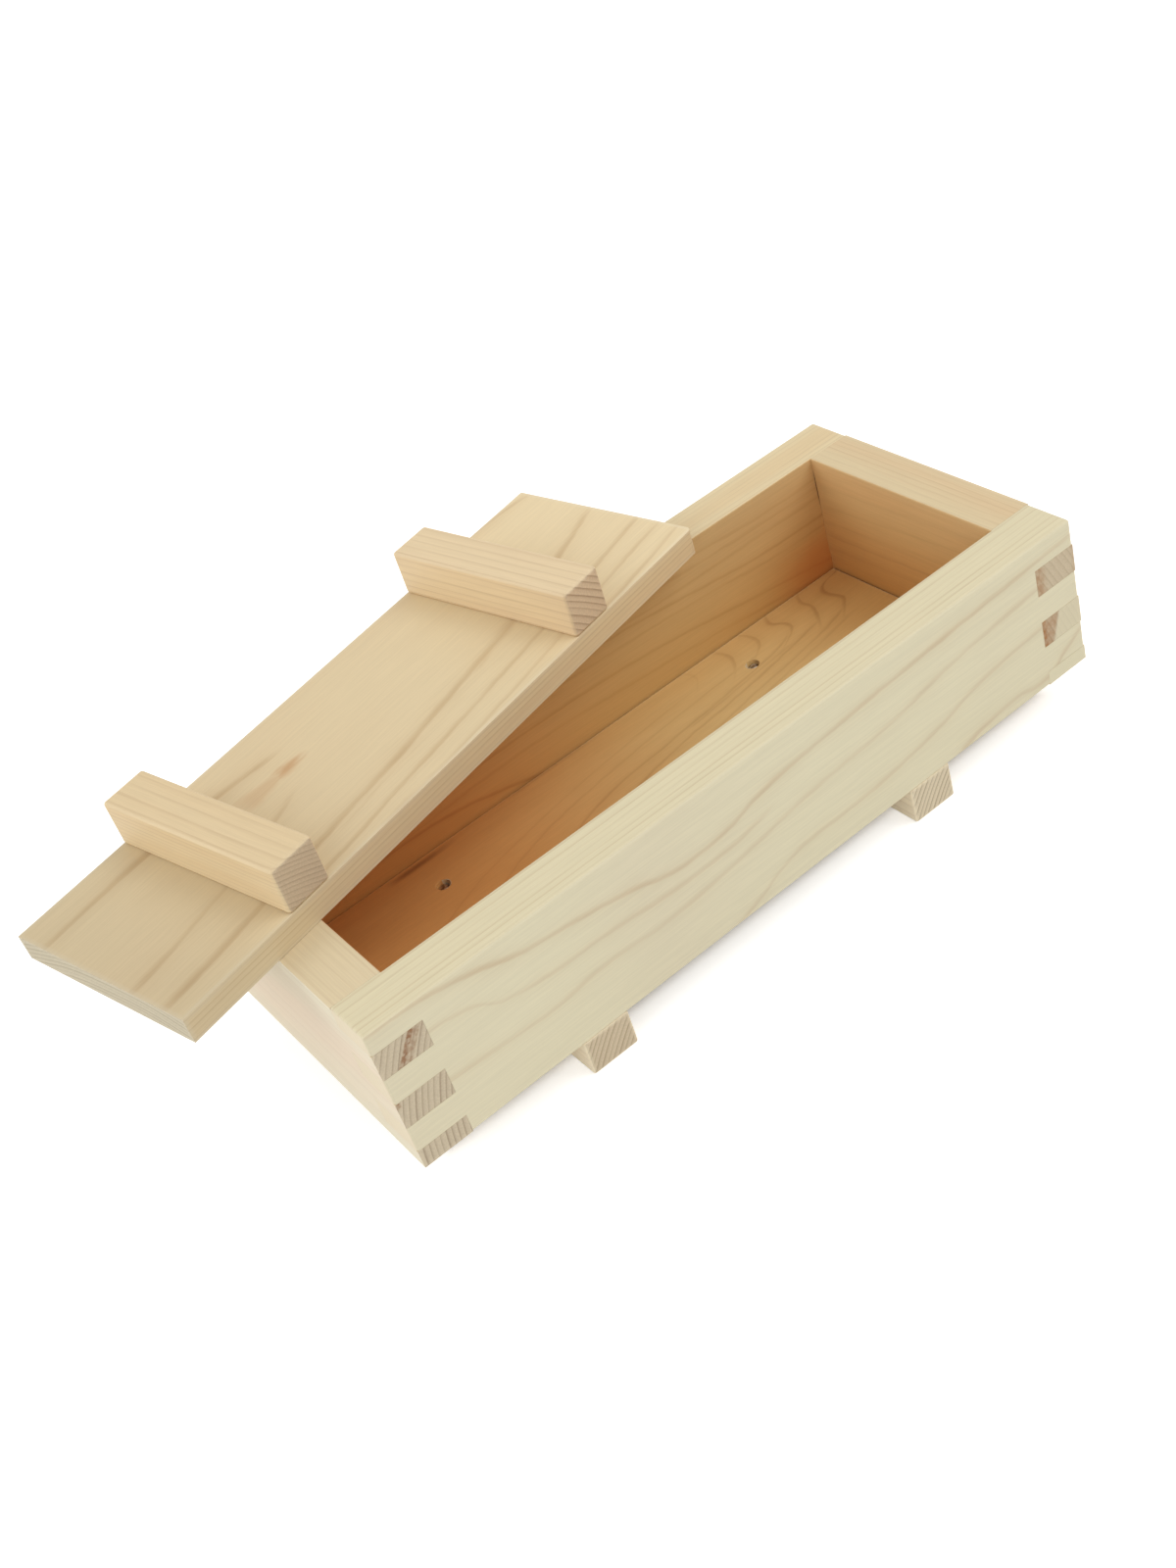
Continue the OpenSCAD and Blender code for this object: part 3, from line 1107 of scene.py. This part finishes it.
def press_stain(graph, in_box, facing):
    """A red-brown spot of resin by the left handle, at a growth line's tip, and a faint trail behind it."""
    tip_along = 79.0
    tip_down = 23.2
    tip_length = 6.2
    tip_width = 3.2
    along, down = from_corner(graph, in_box, press_size, "X", "Y")
    ragged = graph.noise(graph.join(graph.times(along, 0.2), down, 0), 0.6, 3.0)
    from_tip = graph.vector_maths("LENGTH", graph.join(
        graph.over(graph.minus(along, tip_along), tip_length),
        graph.over(graph.minus(down, tip_down), tip_width),
        0,
    ), output=1)
    from_tip = graph.plus(from_tip, graph.times_plus(ragged, 1.2, -0.6))
    tip = graph.ramp(from_tip, 0.1, 1.2, 0.58, 0.0)
    half_width = graph.ramp(along, 84.0, 62.0, 0.5, 4.0)
    off_line = graph.size_of(graph.minus(down, tip_down))
    off_line = graph.plus(off_line, graph.times_plus(ragged, 3.0, -1.5))
    trail = graph.ramp(graph.minus(half_width, off_line), -0.8, 1.6, 0.0, 0.26)
    trail = graph.times(trail, graph.window(along, (58.0, 66.0), (80.0, 86.0)))
    return graph.times(graph.larger(tip, trail), looks(graph, facing, "Z"))


def base_top(graph, in_box, facing):
    """The base board's top: tongues of growth lines that point to the right end, and their trails."""
    along, back = from_corner(graph, in_box, inside_size, "X", "Y")
    tips = long_lines(graph, back, along, inside_size.y, inside_size.x, [
        (0.14, 1.1, [(0, 145.5), (6, 147), (9, 145)]),
        (0.24, 1.2, [(0, 157.5), (6, 160), (10, 159), (14, 156)]),
        (0.26, 1.2, [(0, 168), (6, 170.5), (10, 169.5), (13, 166)]),
        (0.38, 1.5, [(0, 180.5), (3, 179), (5.5, 178.6), (9.5, 181.2), (12.8, 180.6), (16, 176)]),
        (0.38, 1.5, [(0, 194), (5, 191.5), (10, 191.7), (14, 190), (18, 187.5)]),
        (0.36, 1.5, [(0, 212), (2.6, 209), (3.8, 203), (5.8, 200), (9, 199.2), (13, 200.4), (15, 200.6),
                     (18, 198), (20, 196)]),
    ])
    trails = long_lines(graph, along, back, inside_size.x, inside_size.y, [
        (0.12, 0.8, [(30, 33), (50, 24), (75, 18), (100, 14), (140, 10)]),
        (0.15, 0.8, [(50, 33), (75, 23), (105, 18), (130, 15.5), (166, 13.5)]),
        (0.26, 1.0, [(75, 33), (100, 25), (120, 23), (148, 20), (160, 18.5), (170, 17), (177, 14.5)]),
        (0.26, 1.0, [(95, 33), (120, 27), (150, 23.5), (170, 20.5), (188, 17)]),
        (0.22, 1.0, [(120, 33), (150, 27.5), (175, 24), (190, 21), (197, 18.5)]),
        (0.16, 1.0, [(130, 23), (150, 21), (164, 19.6), (176, 18.6)]),
        (0.16, 1.0, [(140, 33), (160, 29), (180, 26), (196, 23)]),
    ])
    return graph.larger(tips, trails), looks(graph, facing, "Z"), 0.15


def base_streak_and_joint_shade(graph, in_box, facing):
    """A short dark streak on the floor near the rear wall, and farther right a painted shade, redder and
    darker, along the rear wall's foot.
    """
    along, back = from_corner(graph, in_box, inside_size, "X", "Y")
    streak_back = 2.7
    off_line = graph.size_of(graph.minus(back, streak_back))
    streak = graph.window(along, (31.0, 39.0), (44.0, 60.0))
    streak = graph.times(graph.ramp(off_line, 0.2, 1.7, 0.55, 0.0), streak)
    # Painted shade: redder and darker along the foot of the rear wall
    joint_shade = graph.window(along, (66.0, 84.0), (100.0, 116.0))
    joint_shade = graph.times(graph.ramp(back, 0.6, 2.4, 0.3, 0.0), joint_shade)
    return graph.times(graph.larger(streak, joint_shade), looks(graph, facing, "Z"))


def right_inside(graph, in_box, facing):
    """The right end wall's inner face: faint level lines, and a dark seam down its rear corner."""
    end_size = Vector((inside_size.x, inside_size.y, mould_size.z))
    across, down = from_corner(graph, in_box, end_size, "Y", "Z")
    lines = long_lines(graph, across, down, inside_size.y, mould_size.z, [
        (0.07, 1.0, [(0, 9), (30, 8), (74, 6)]),
        (0.1, 1.0, [(0, 17), (15, 16), (40, 14), (74, 12)]),
        (0.06, 1.0, [(0, 23), (30, 21), (74, 19)]),
        (0.1, 1.0, [(0, 28), (30, 27), (74, 25)]),
        (0.1, 1.0, [(0, 33), (30, 32), (74, 31)]),
    ])
    seam = graph.window(down, (3.0, 7.0), (13.0, 19.0))
    seam = graph.times(graph.ramp(across, 0.15, 0.6, 0.9, 0.0), seam)
    return graph.larger(lines, seam), looks(graph, facing, "-X"), 0.35


def quiet_long_wall_ends(graph, in_box, facing):
    """The long walls' ends hardly stand out at the left, and show their rings at the right."""
    return looks(graph, facing, "X", -0.5, 0.5, 0.93, 0.35)


def at_the_front(graph, facing):
    """1 on what faces the front, 0 elsewhere."""
    return looks(graph, facing, "-Y", 0.75, 0.95)


# The heights, down from the rim, between which the upper right finger in front gives way to the
# lower one, and those between which the lower one gives way to the last
BELOW_UPPER = (19.0, 23.0)
BELOW_LOWER = (35.0, 38.0)


def past_slant(graph, along, down, at_rim, lean):
    """How far to the right a place is of a slanting line, which starts at the rim and leans back."""
    return graph.times_plus(down, lean, graph.minus(along, at_rim))


def past_right_slant(graph, along, down):
    """How far to the right a place is of the slant across the lower right finger."""
    return past_slant(graph, along, down, 240.7, 0.35)


def quiet_right_ends(graph, in_box, facing):
    """In front, the right end wall's fingers fade downwards and towards the mould's right end."""
    along, down = from_corner(graph, in_box, mould_size)
    lower = graph.ramp(past_right_slant(graph, along, down), -0.2, 0.9, 0.0, 0.72)
    lower = graph.larger(lower, graph.ramp(down, *BELOW_LOWER))
    faded = graph.between(graph.ramp(down, *BELOW_UPPER), 0.15, lower)
    return graph.times(faded, at_the_front(graph, facing))


def left_finger_stain(graph, in_box, facing):
    """A dark streak of resin that leans across the left end wall's top finger in front."""
    along, down = from_corner(graph, in_box, mould_size)
    off_line = past_slant(graph, along, down, 15.1, 0.68)
    specks = graph.ramp(graph.noise(in_box, 0.9, 3.0), 0.38, 0.62, 0.35, 1.0)
    dark = graph.window(off_line, (-0.4, 0.3), (1.3, 2.4), 0.9)
    pale = graph.window(off_line, (0.0, 0.4), (3.4, 4.6), 0.5)
    streak = graph.times(graph.larger(dark, pale), graph.ramp(down, 16.0, 18.0, 1.0, 0.0))

    # The second finger's corner is browner too
    corner = graph.window(down, (20.0, 22.0), (25.0, 26.5), 0.9)
    corner = graph.times(graph.ramp(along, 0.8, 1.7, 1.0, 0.0), corner)
    return graph.times(graph.larger(streak, corner), specks, at_the_front(graph, facing))


def right_finger_stain(graph, in_box, facing):
    """Brown wood along the inner side of the right end wall's fingers in front."""
    along, down = from_corner(graph, in_box, mould_size)
    upper = graph.ramp(along, 226.3, 229.5, 0.62, 0.05)
    upper = graph.larger(upper, graph.ramp(along, 238.2, 239.6, 0.0, 0.4))
    lower = graph.ramp(past_right_slant(graph, along, down), -0.7, 0.4, 0.62, 0.0)
    lower = graph.times(lower, graph.ramp(along, 225.6, 227.2, 1.6, 0.85))
    specks = graph.ramp(graph.noise(in_box, 0.7, 3.0), 0.35, 0.65, 0.5, 1.0)
    mark_and_corner_shade = graph.between(graph.ramp(down, *BELOW_UPPER), upper, lower)
    fading = graph.ramp(down, *BELOW_LOWER, 1.0, 0.0)
    return graph.times(mark_and_corner_shade, specks, fading, at_the_front(graph, facing))


def press_tone_and_shade(graph, in_box, facing):
    """The press board is darker towards its left end and palest at its right: partly its own tone and
    partly painted shade.
    """
    along, _ = from_corner(graph, in_box, press_size, "X", "Y")
    left = graph.ramp(along, 5.0, 65.0, 0.75, 0.885)
    return graph.plus(left, graph.ramp(along, 125.0, 190.0, 0.0, 0.105))


dress(front_wall, "frame", "front_wall", board_wood(
    "front wall wood", Vector((0, front_low.y + 400 * MM, mould_low.z + 24 * MM)), 0.0, mould_box,
    rings={"Ring width": 2.2, "Wander": 0.12, "Unevenness": 1.4, "Seed": 1.0}, arris=(1.0, 0.08),
    tones={"Early": (221, 212, 181), "Warm": (216, 204, 176), "Late": (192, 170, 132),
           "Line": (186, 154, 116), "End": (200, 184, 154)},
    contrast=0.4,
    face=front_face, quiet=quiet_long_wall_ends, rim=(221, 210, 176), inside_shade_at_rim=0.6,
))
dress(rear_wall, "frame", "rear_wall", board_wood(
    "rear wall wood", Vector((0, rear_low.y - 150 * MM, mould_low.z + 10 * MM)), 0.0, mould_box,
    rings={"Ring width": 1.8, "Wander": 0.3, "Seed": 2.0}, tilt=math.radians(1), arris=(1.0, 0.15),
    # Its marks colour is that of the painted shade in its rear right corner
    tones={"Early": (224, 205, 165), "Warm": (222, 199, 157), "Line": (176, 132, 84),
           "End": (200, 184, 154), "Marks and painted shade": (222, 158, 108)},
    contrast=0.35,
    face=rear_inside, quiet=quiet_long_wall_ends, marks_and_shade=rear_corner_shade, inside_shade_at_rim=0.6,
))
dress(left_wall, "frame", "left_end_wall", board_wood(
    "left end wood", Vector((left_low.x + 84 * MM, 0, mould_low.z - 5 * MM)), QUARTER, mould_box,
    rings={"Ring width": 1.7, "Wander": 0.15, "Unevenness": 0.4, "Seed": 3.0}, arris=(1.0, 0.15),
    tones={"Early": (222, 213, 188), "Warm": (225, 208, 184), "End": (204, 189, 162),
           "End late": (170, 152, 128), "Marks and painted shade": (142, 99, 66)},
    contrast=0.2,
    marks_and_shade=left_finger_stain, rim=(220, 202, 166), inside_shade_at_rim=0.6,
))
dress(right_wall, "frame", "right_end_wall", board_wood(
    "right end wood", Vector((right_low.x - 110 * MM, 0, mould_low.z - 25 * MM)), QUARTER, mould_box,
    rings={"Ring width": 1.9, "Wander": 0.3, "Seed": 4.0}, arris=(1.0, 0.15),
    tones={"Early": (217, 197, 158), "Warm": (217, 191, 151), "Line": (104, 70, 42),
           "End": (200, 182, 154), "End late": (178, 159, 131), "Quiet": (221, 212, 181),
           "Marks and painted shade": (164, 116, 72)},
    contrast=0.35,
    quiet=quiet_right_ends, face=right_inside, marks_and_shade=right_finger_stain, inside_shade_at_rim=0.6,
))
dress(base_board, "base", "base_board", board_wood(
    "base board wood", Vector((0, base_low.y + 30 * MM, base_low.z - 90 * MM)), 0.0, (base_low, base_high),
    rings={"Ring width": 1.8, "Wander": 0.6, "Seed": 5.0}, tilt=math.radians(2), inside_shade_at_rim=0.6,
    tones={"Early": (228, 210, 172), "Warm": (222, 200, 160), "Line": (150, 100, 54),
           "Marks and painted shade": (112, 62, 36)},
    # Its marks colour serves both the dark streak and the painted shade along the rear wall's foot
    face=base_top, marks_and_shade=base_streak_and_joint_shade,
))
for foot, node, seed, end_tone in zip(
    feet, ("left_foot", "right_foot"), (6.0, 7.0), ((210, 193, 164), (222, 208, 180))
):
    foot_low, foot_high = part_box(node)
    dress(foot, "base", node, board_wood(
        node.replace("_", " ") + " wood", Vector((foot_low.x + 70 * MM, 0, foot_low.z - 42 * MM)), QUARTER,
        (foot_low, foot_high), rings={"Ring width": 1.6, "Wander": 0.15, "Seed": seed}, arris=(1.0, 0.5),
        tones={"Early": (252, 237, 207), "Warm": (250, 232, 200), "End": end_tone,
               "End late": (170, 150, 122)},
        contrast=0.25,
    ))


def in_press(x, y, z):
    """A point of the press, from its place along the turned board's own sides."""
    return Matrix.Rotation(PRESS_TURN, 3, "Z") @ Vector((x, y, z))


dress(press_board, "press", "press_board", board_wood(
    "press board wood",
    in_press(board_low.x, board_low.y + 25 * MM, board_low.z - 110 * MM), PRESS_TURN,
    (board_low, board_high), box_turn=PRESS_TURN,
    rings={"Ring width": 1.5, "Wander": 0.3, "Seed": 8.0}, arris=(1.2, 0.35),
    tones={"Early": (233, 212, 171), "Warm": (230, 206, 165), "Late": (196, 166, 124),
           "Line": (178, 138, 86), "End": (226, 214, 186), "End late": (196, 182, 152),
           "Marks and painted shade": (196, 136, 78)},
    contrast=0.42,
    face=press_top, marks_and_shade=press_stain, shade=press_tone_and_shade,
))
handle_looks = {
    "left_handle": {
        "heart": (-41, -102),
        "rings": {"Ring width": 1.35, "Wander": 0.15, "Seed": 9.0},
        "tones": {"Early": (224, 202, 162), "Warm": (222, 198, 157),
                  "End": (200, 179, 149), "End late": (178, 157, 130)},
    },
    "right_handle": {
        "heart": (-70, -84),
        "rings": {"Ring width": 1.9, "Wander": 0.3, "Seed": 10.0},
        "tones": {"Early": (228, 205, 166), "Warm": (225, 200, 162),
                  "End": (220, 196, 163), "End late": (176, 149, 120)},
    },
}
for handle, node in zip(handles, ("left_handle", "right_handle")):
    look = handle_looks[node]
    bar_low, bar_high = press_box(node)
    heart_x, heart_z = look["heart"]
    dress(handle, "press", node, board_wood(
        node.replace("_", " ") + " wood",
        in_press(bar_low.x + heart_x * MM, 0, bar_low.z + heart_z * MM), PRESS_TURN + QUARTER,
        (bar_low, bar_high), box_turn=PRESS_TURN, rings=look["rings"], arris=(1.0, 0.1),
        tones=look["tones"], contrast=0.42,
    ))
steel = nail_material()
dress(base_nails, "base", "base_nails", steel)
dress(press_nails, "press", "press_nails", steel)


# ---------------------------------------------------------------- floor, light and camera

FLOOR_RADIUS = 6
FLOOR_SIDES = 96
FLOOR_GREY = 0.92
FLOOR_GLOW = 0.5

# What the camera sees round the floor is white, whatever the world's light
WORLD_LIGHT = 0.605
WHITE = (1, 1, 1, 1)


def seen_or_mirrored(graph):
    """1 on rays from the camera, and on those that a mirror or glass passes on to it."""
    rays = graph.tree.nodes.new("ShaderNodeLightPath").outputs
    seen = graph.larger(rays["Is Camera Ray"], rays["Is Glossy Ray"])
    return graph.larger(seen, rays["Is Transmission Ray"])


def floor_material():
    """A pale floor that the camera sees as white, with the object's shadow, and a painted shadow under the
    base, where it has no glow.
    """
    material, graph, shader = new_material("pale floor")
    middle = (base_low + base_high) / 2
    half = (base_high - base_low) / 2
    place = graph.vector_maths("SUBTRACT", graph.node("ShaderNodeTexCoord", "Object"), middle)
    x, y, _ = graph.split(graph.vector_maths("ABSOLUTE", place))
    out = graph.larger(graph.minus(x, half.x), graph.minus(y, half.y))
    # Painted shadow: the floor has no glow under the base
    outside_painted_shadow = graph.ramp(out, 1 * MM, 8 * MM)
    fill(graph.tree, shader, {
        "Base Color": (FLOOR_GREY, FLOOR_GREY, FLOOR_GREY, 1),
        "Roughness": 0.9,
        "Specular IOR Level": 0.0,
        "Emission Color": WHITE,
        "Emission Strength": graph.times(seen_or_mirrored(graph), outside_painted_shadow, FLOOR_GLOW),
    })
    return material


deselect_all()
bpy.ops.mesh.primitive_circle_add(
    vertices=FLOOR_SIDES, radius=FLOOR_RADIUS, fill_type="NGON", location=(0, 0, 0)
)
floor = bpy.context.object
floor.name = "floor"
floor.data.materials.append(floor_material())

world = bpy.context.scene.world or bpy.data.worlds.new("studio")
bpy.context.scene.world = world
world.use_nodes = True
sky = Graph(world.node_tree)
fill(world.node_tree, world.node_tree.nodes["Background"].inputs, {
    "Color": WHITE,
    "Strength": sky.between(seen_or_mirrored(sky), WORLD_LIGHT, 1.0),
})


LAMP_SIZE = 1.6
LAMP_AIM = Vector((0, 0, 0.03))


def soft_lamp(name, place, power):
    """A large square lamp that points at the mould."""
    bpy.ops.object.light_add(type="AREA", location=place)
    lamp = bpy.context.object
    lamp.name = name
    lamp.rotation_euler = (LAMP_AIM - Vector(place)).to_track_quat("-Z", "Y").to_euler()
    lamp.data.size = LAMP_SIZE
    lamp.data.energy = power


soft_lamp("right front", (1.3, -0.9, 1.8), 20.5)
soft_lamp("left rear", (-1.8, 1.0, 1.2), 17.5)
soft_lamp("left fill", (-2.0, -1.2, 0.5), 10)

# The camera stands where the photograph's did: left of the mould and in front, looking down at it tilted
CAMERA_PLACE = (-0.17705, -0.39473, 0.36507)
CAMERA_HEADING = math.radians(25.762)
CAMERA_DIP = math.radians(38.299)
CAMERA_ROLL = math.radians(-18.864)
CAMERA_LENS_MM = 58.82
CAMERA_SENSOR_MM = 36
CAMERA_NEAREST = 0.01
bpy.ops.object.camera_add(location=CAMERA_PLACE)
camera = bpy.context.object
camera_turn = (
    Matrix.Rotation(-CAMERA_HEADING, 3, "Z")
    @ Matrix.Rotation(QUARTER - CAMERA_DIP, 3, "X")
    @ Matrix.Rotation(CAMERA_ROLL, 3, "Z")
)
camera.rotation_euler = camera_turn.to_euler()
camera.data.sensor_fit = "HORIZONTAL"
camera.data.sensor_width = CAMERA_SENSOR_MM
camera.data.lens = CAMERA_LENS_MM
camera.data.clip_start = CAMERA_NEAREST
bpy.context.scene.camera = camera
bpy.context.scene.view_settings.view_transform = "Standard"
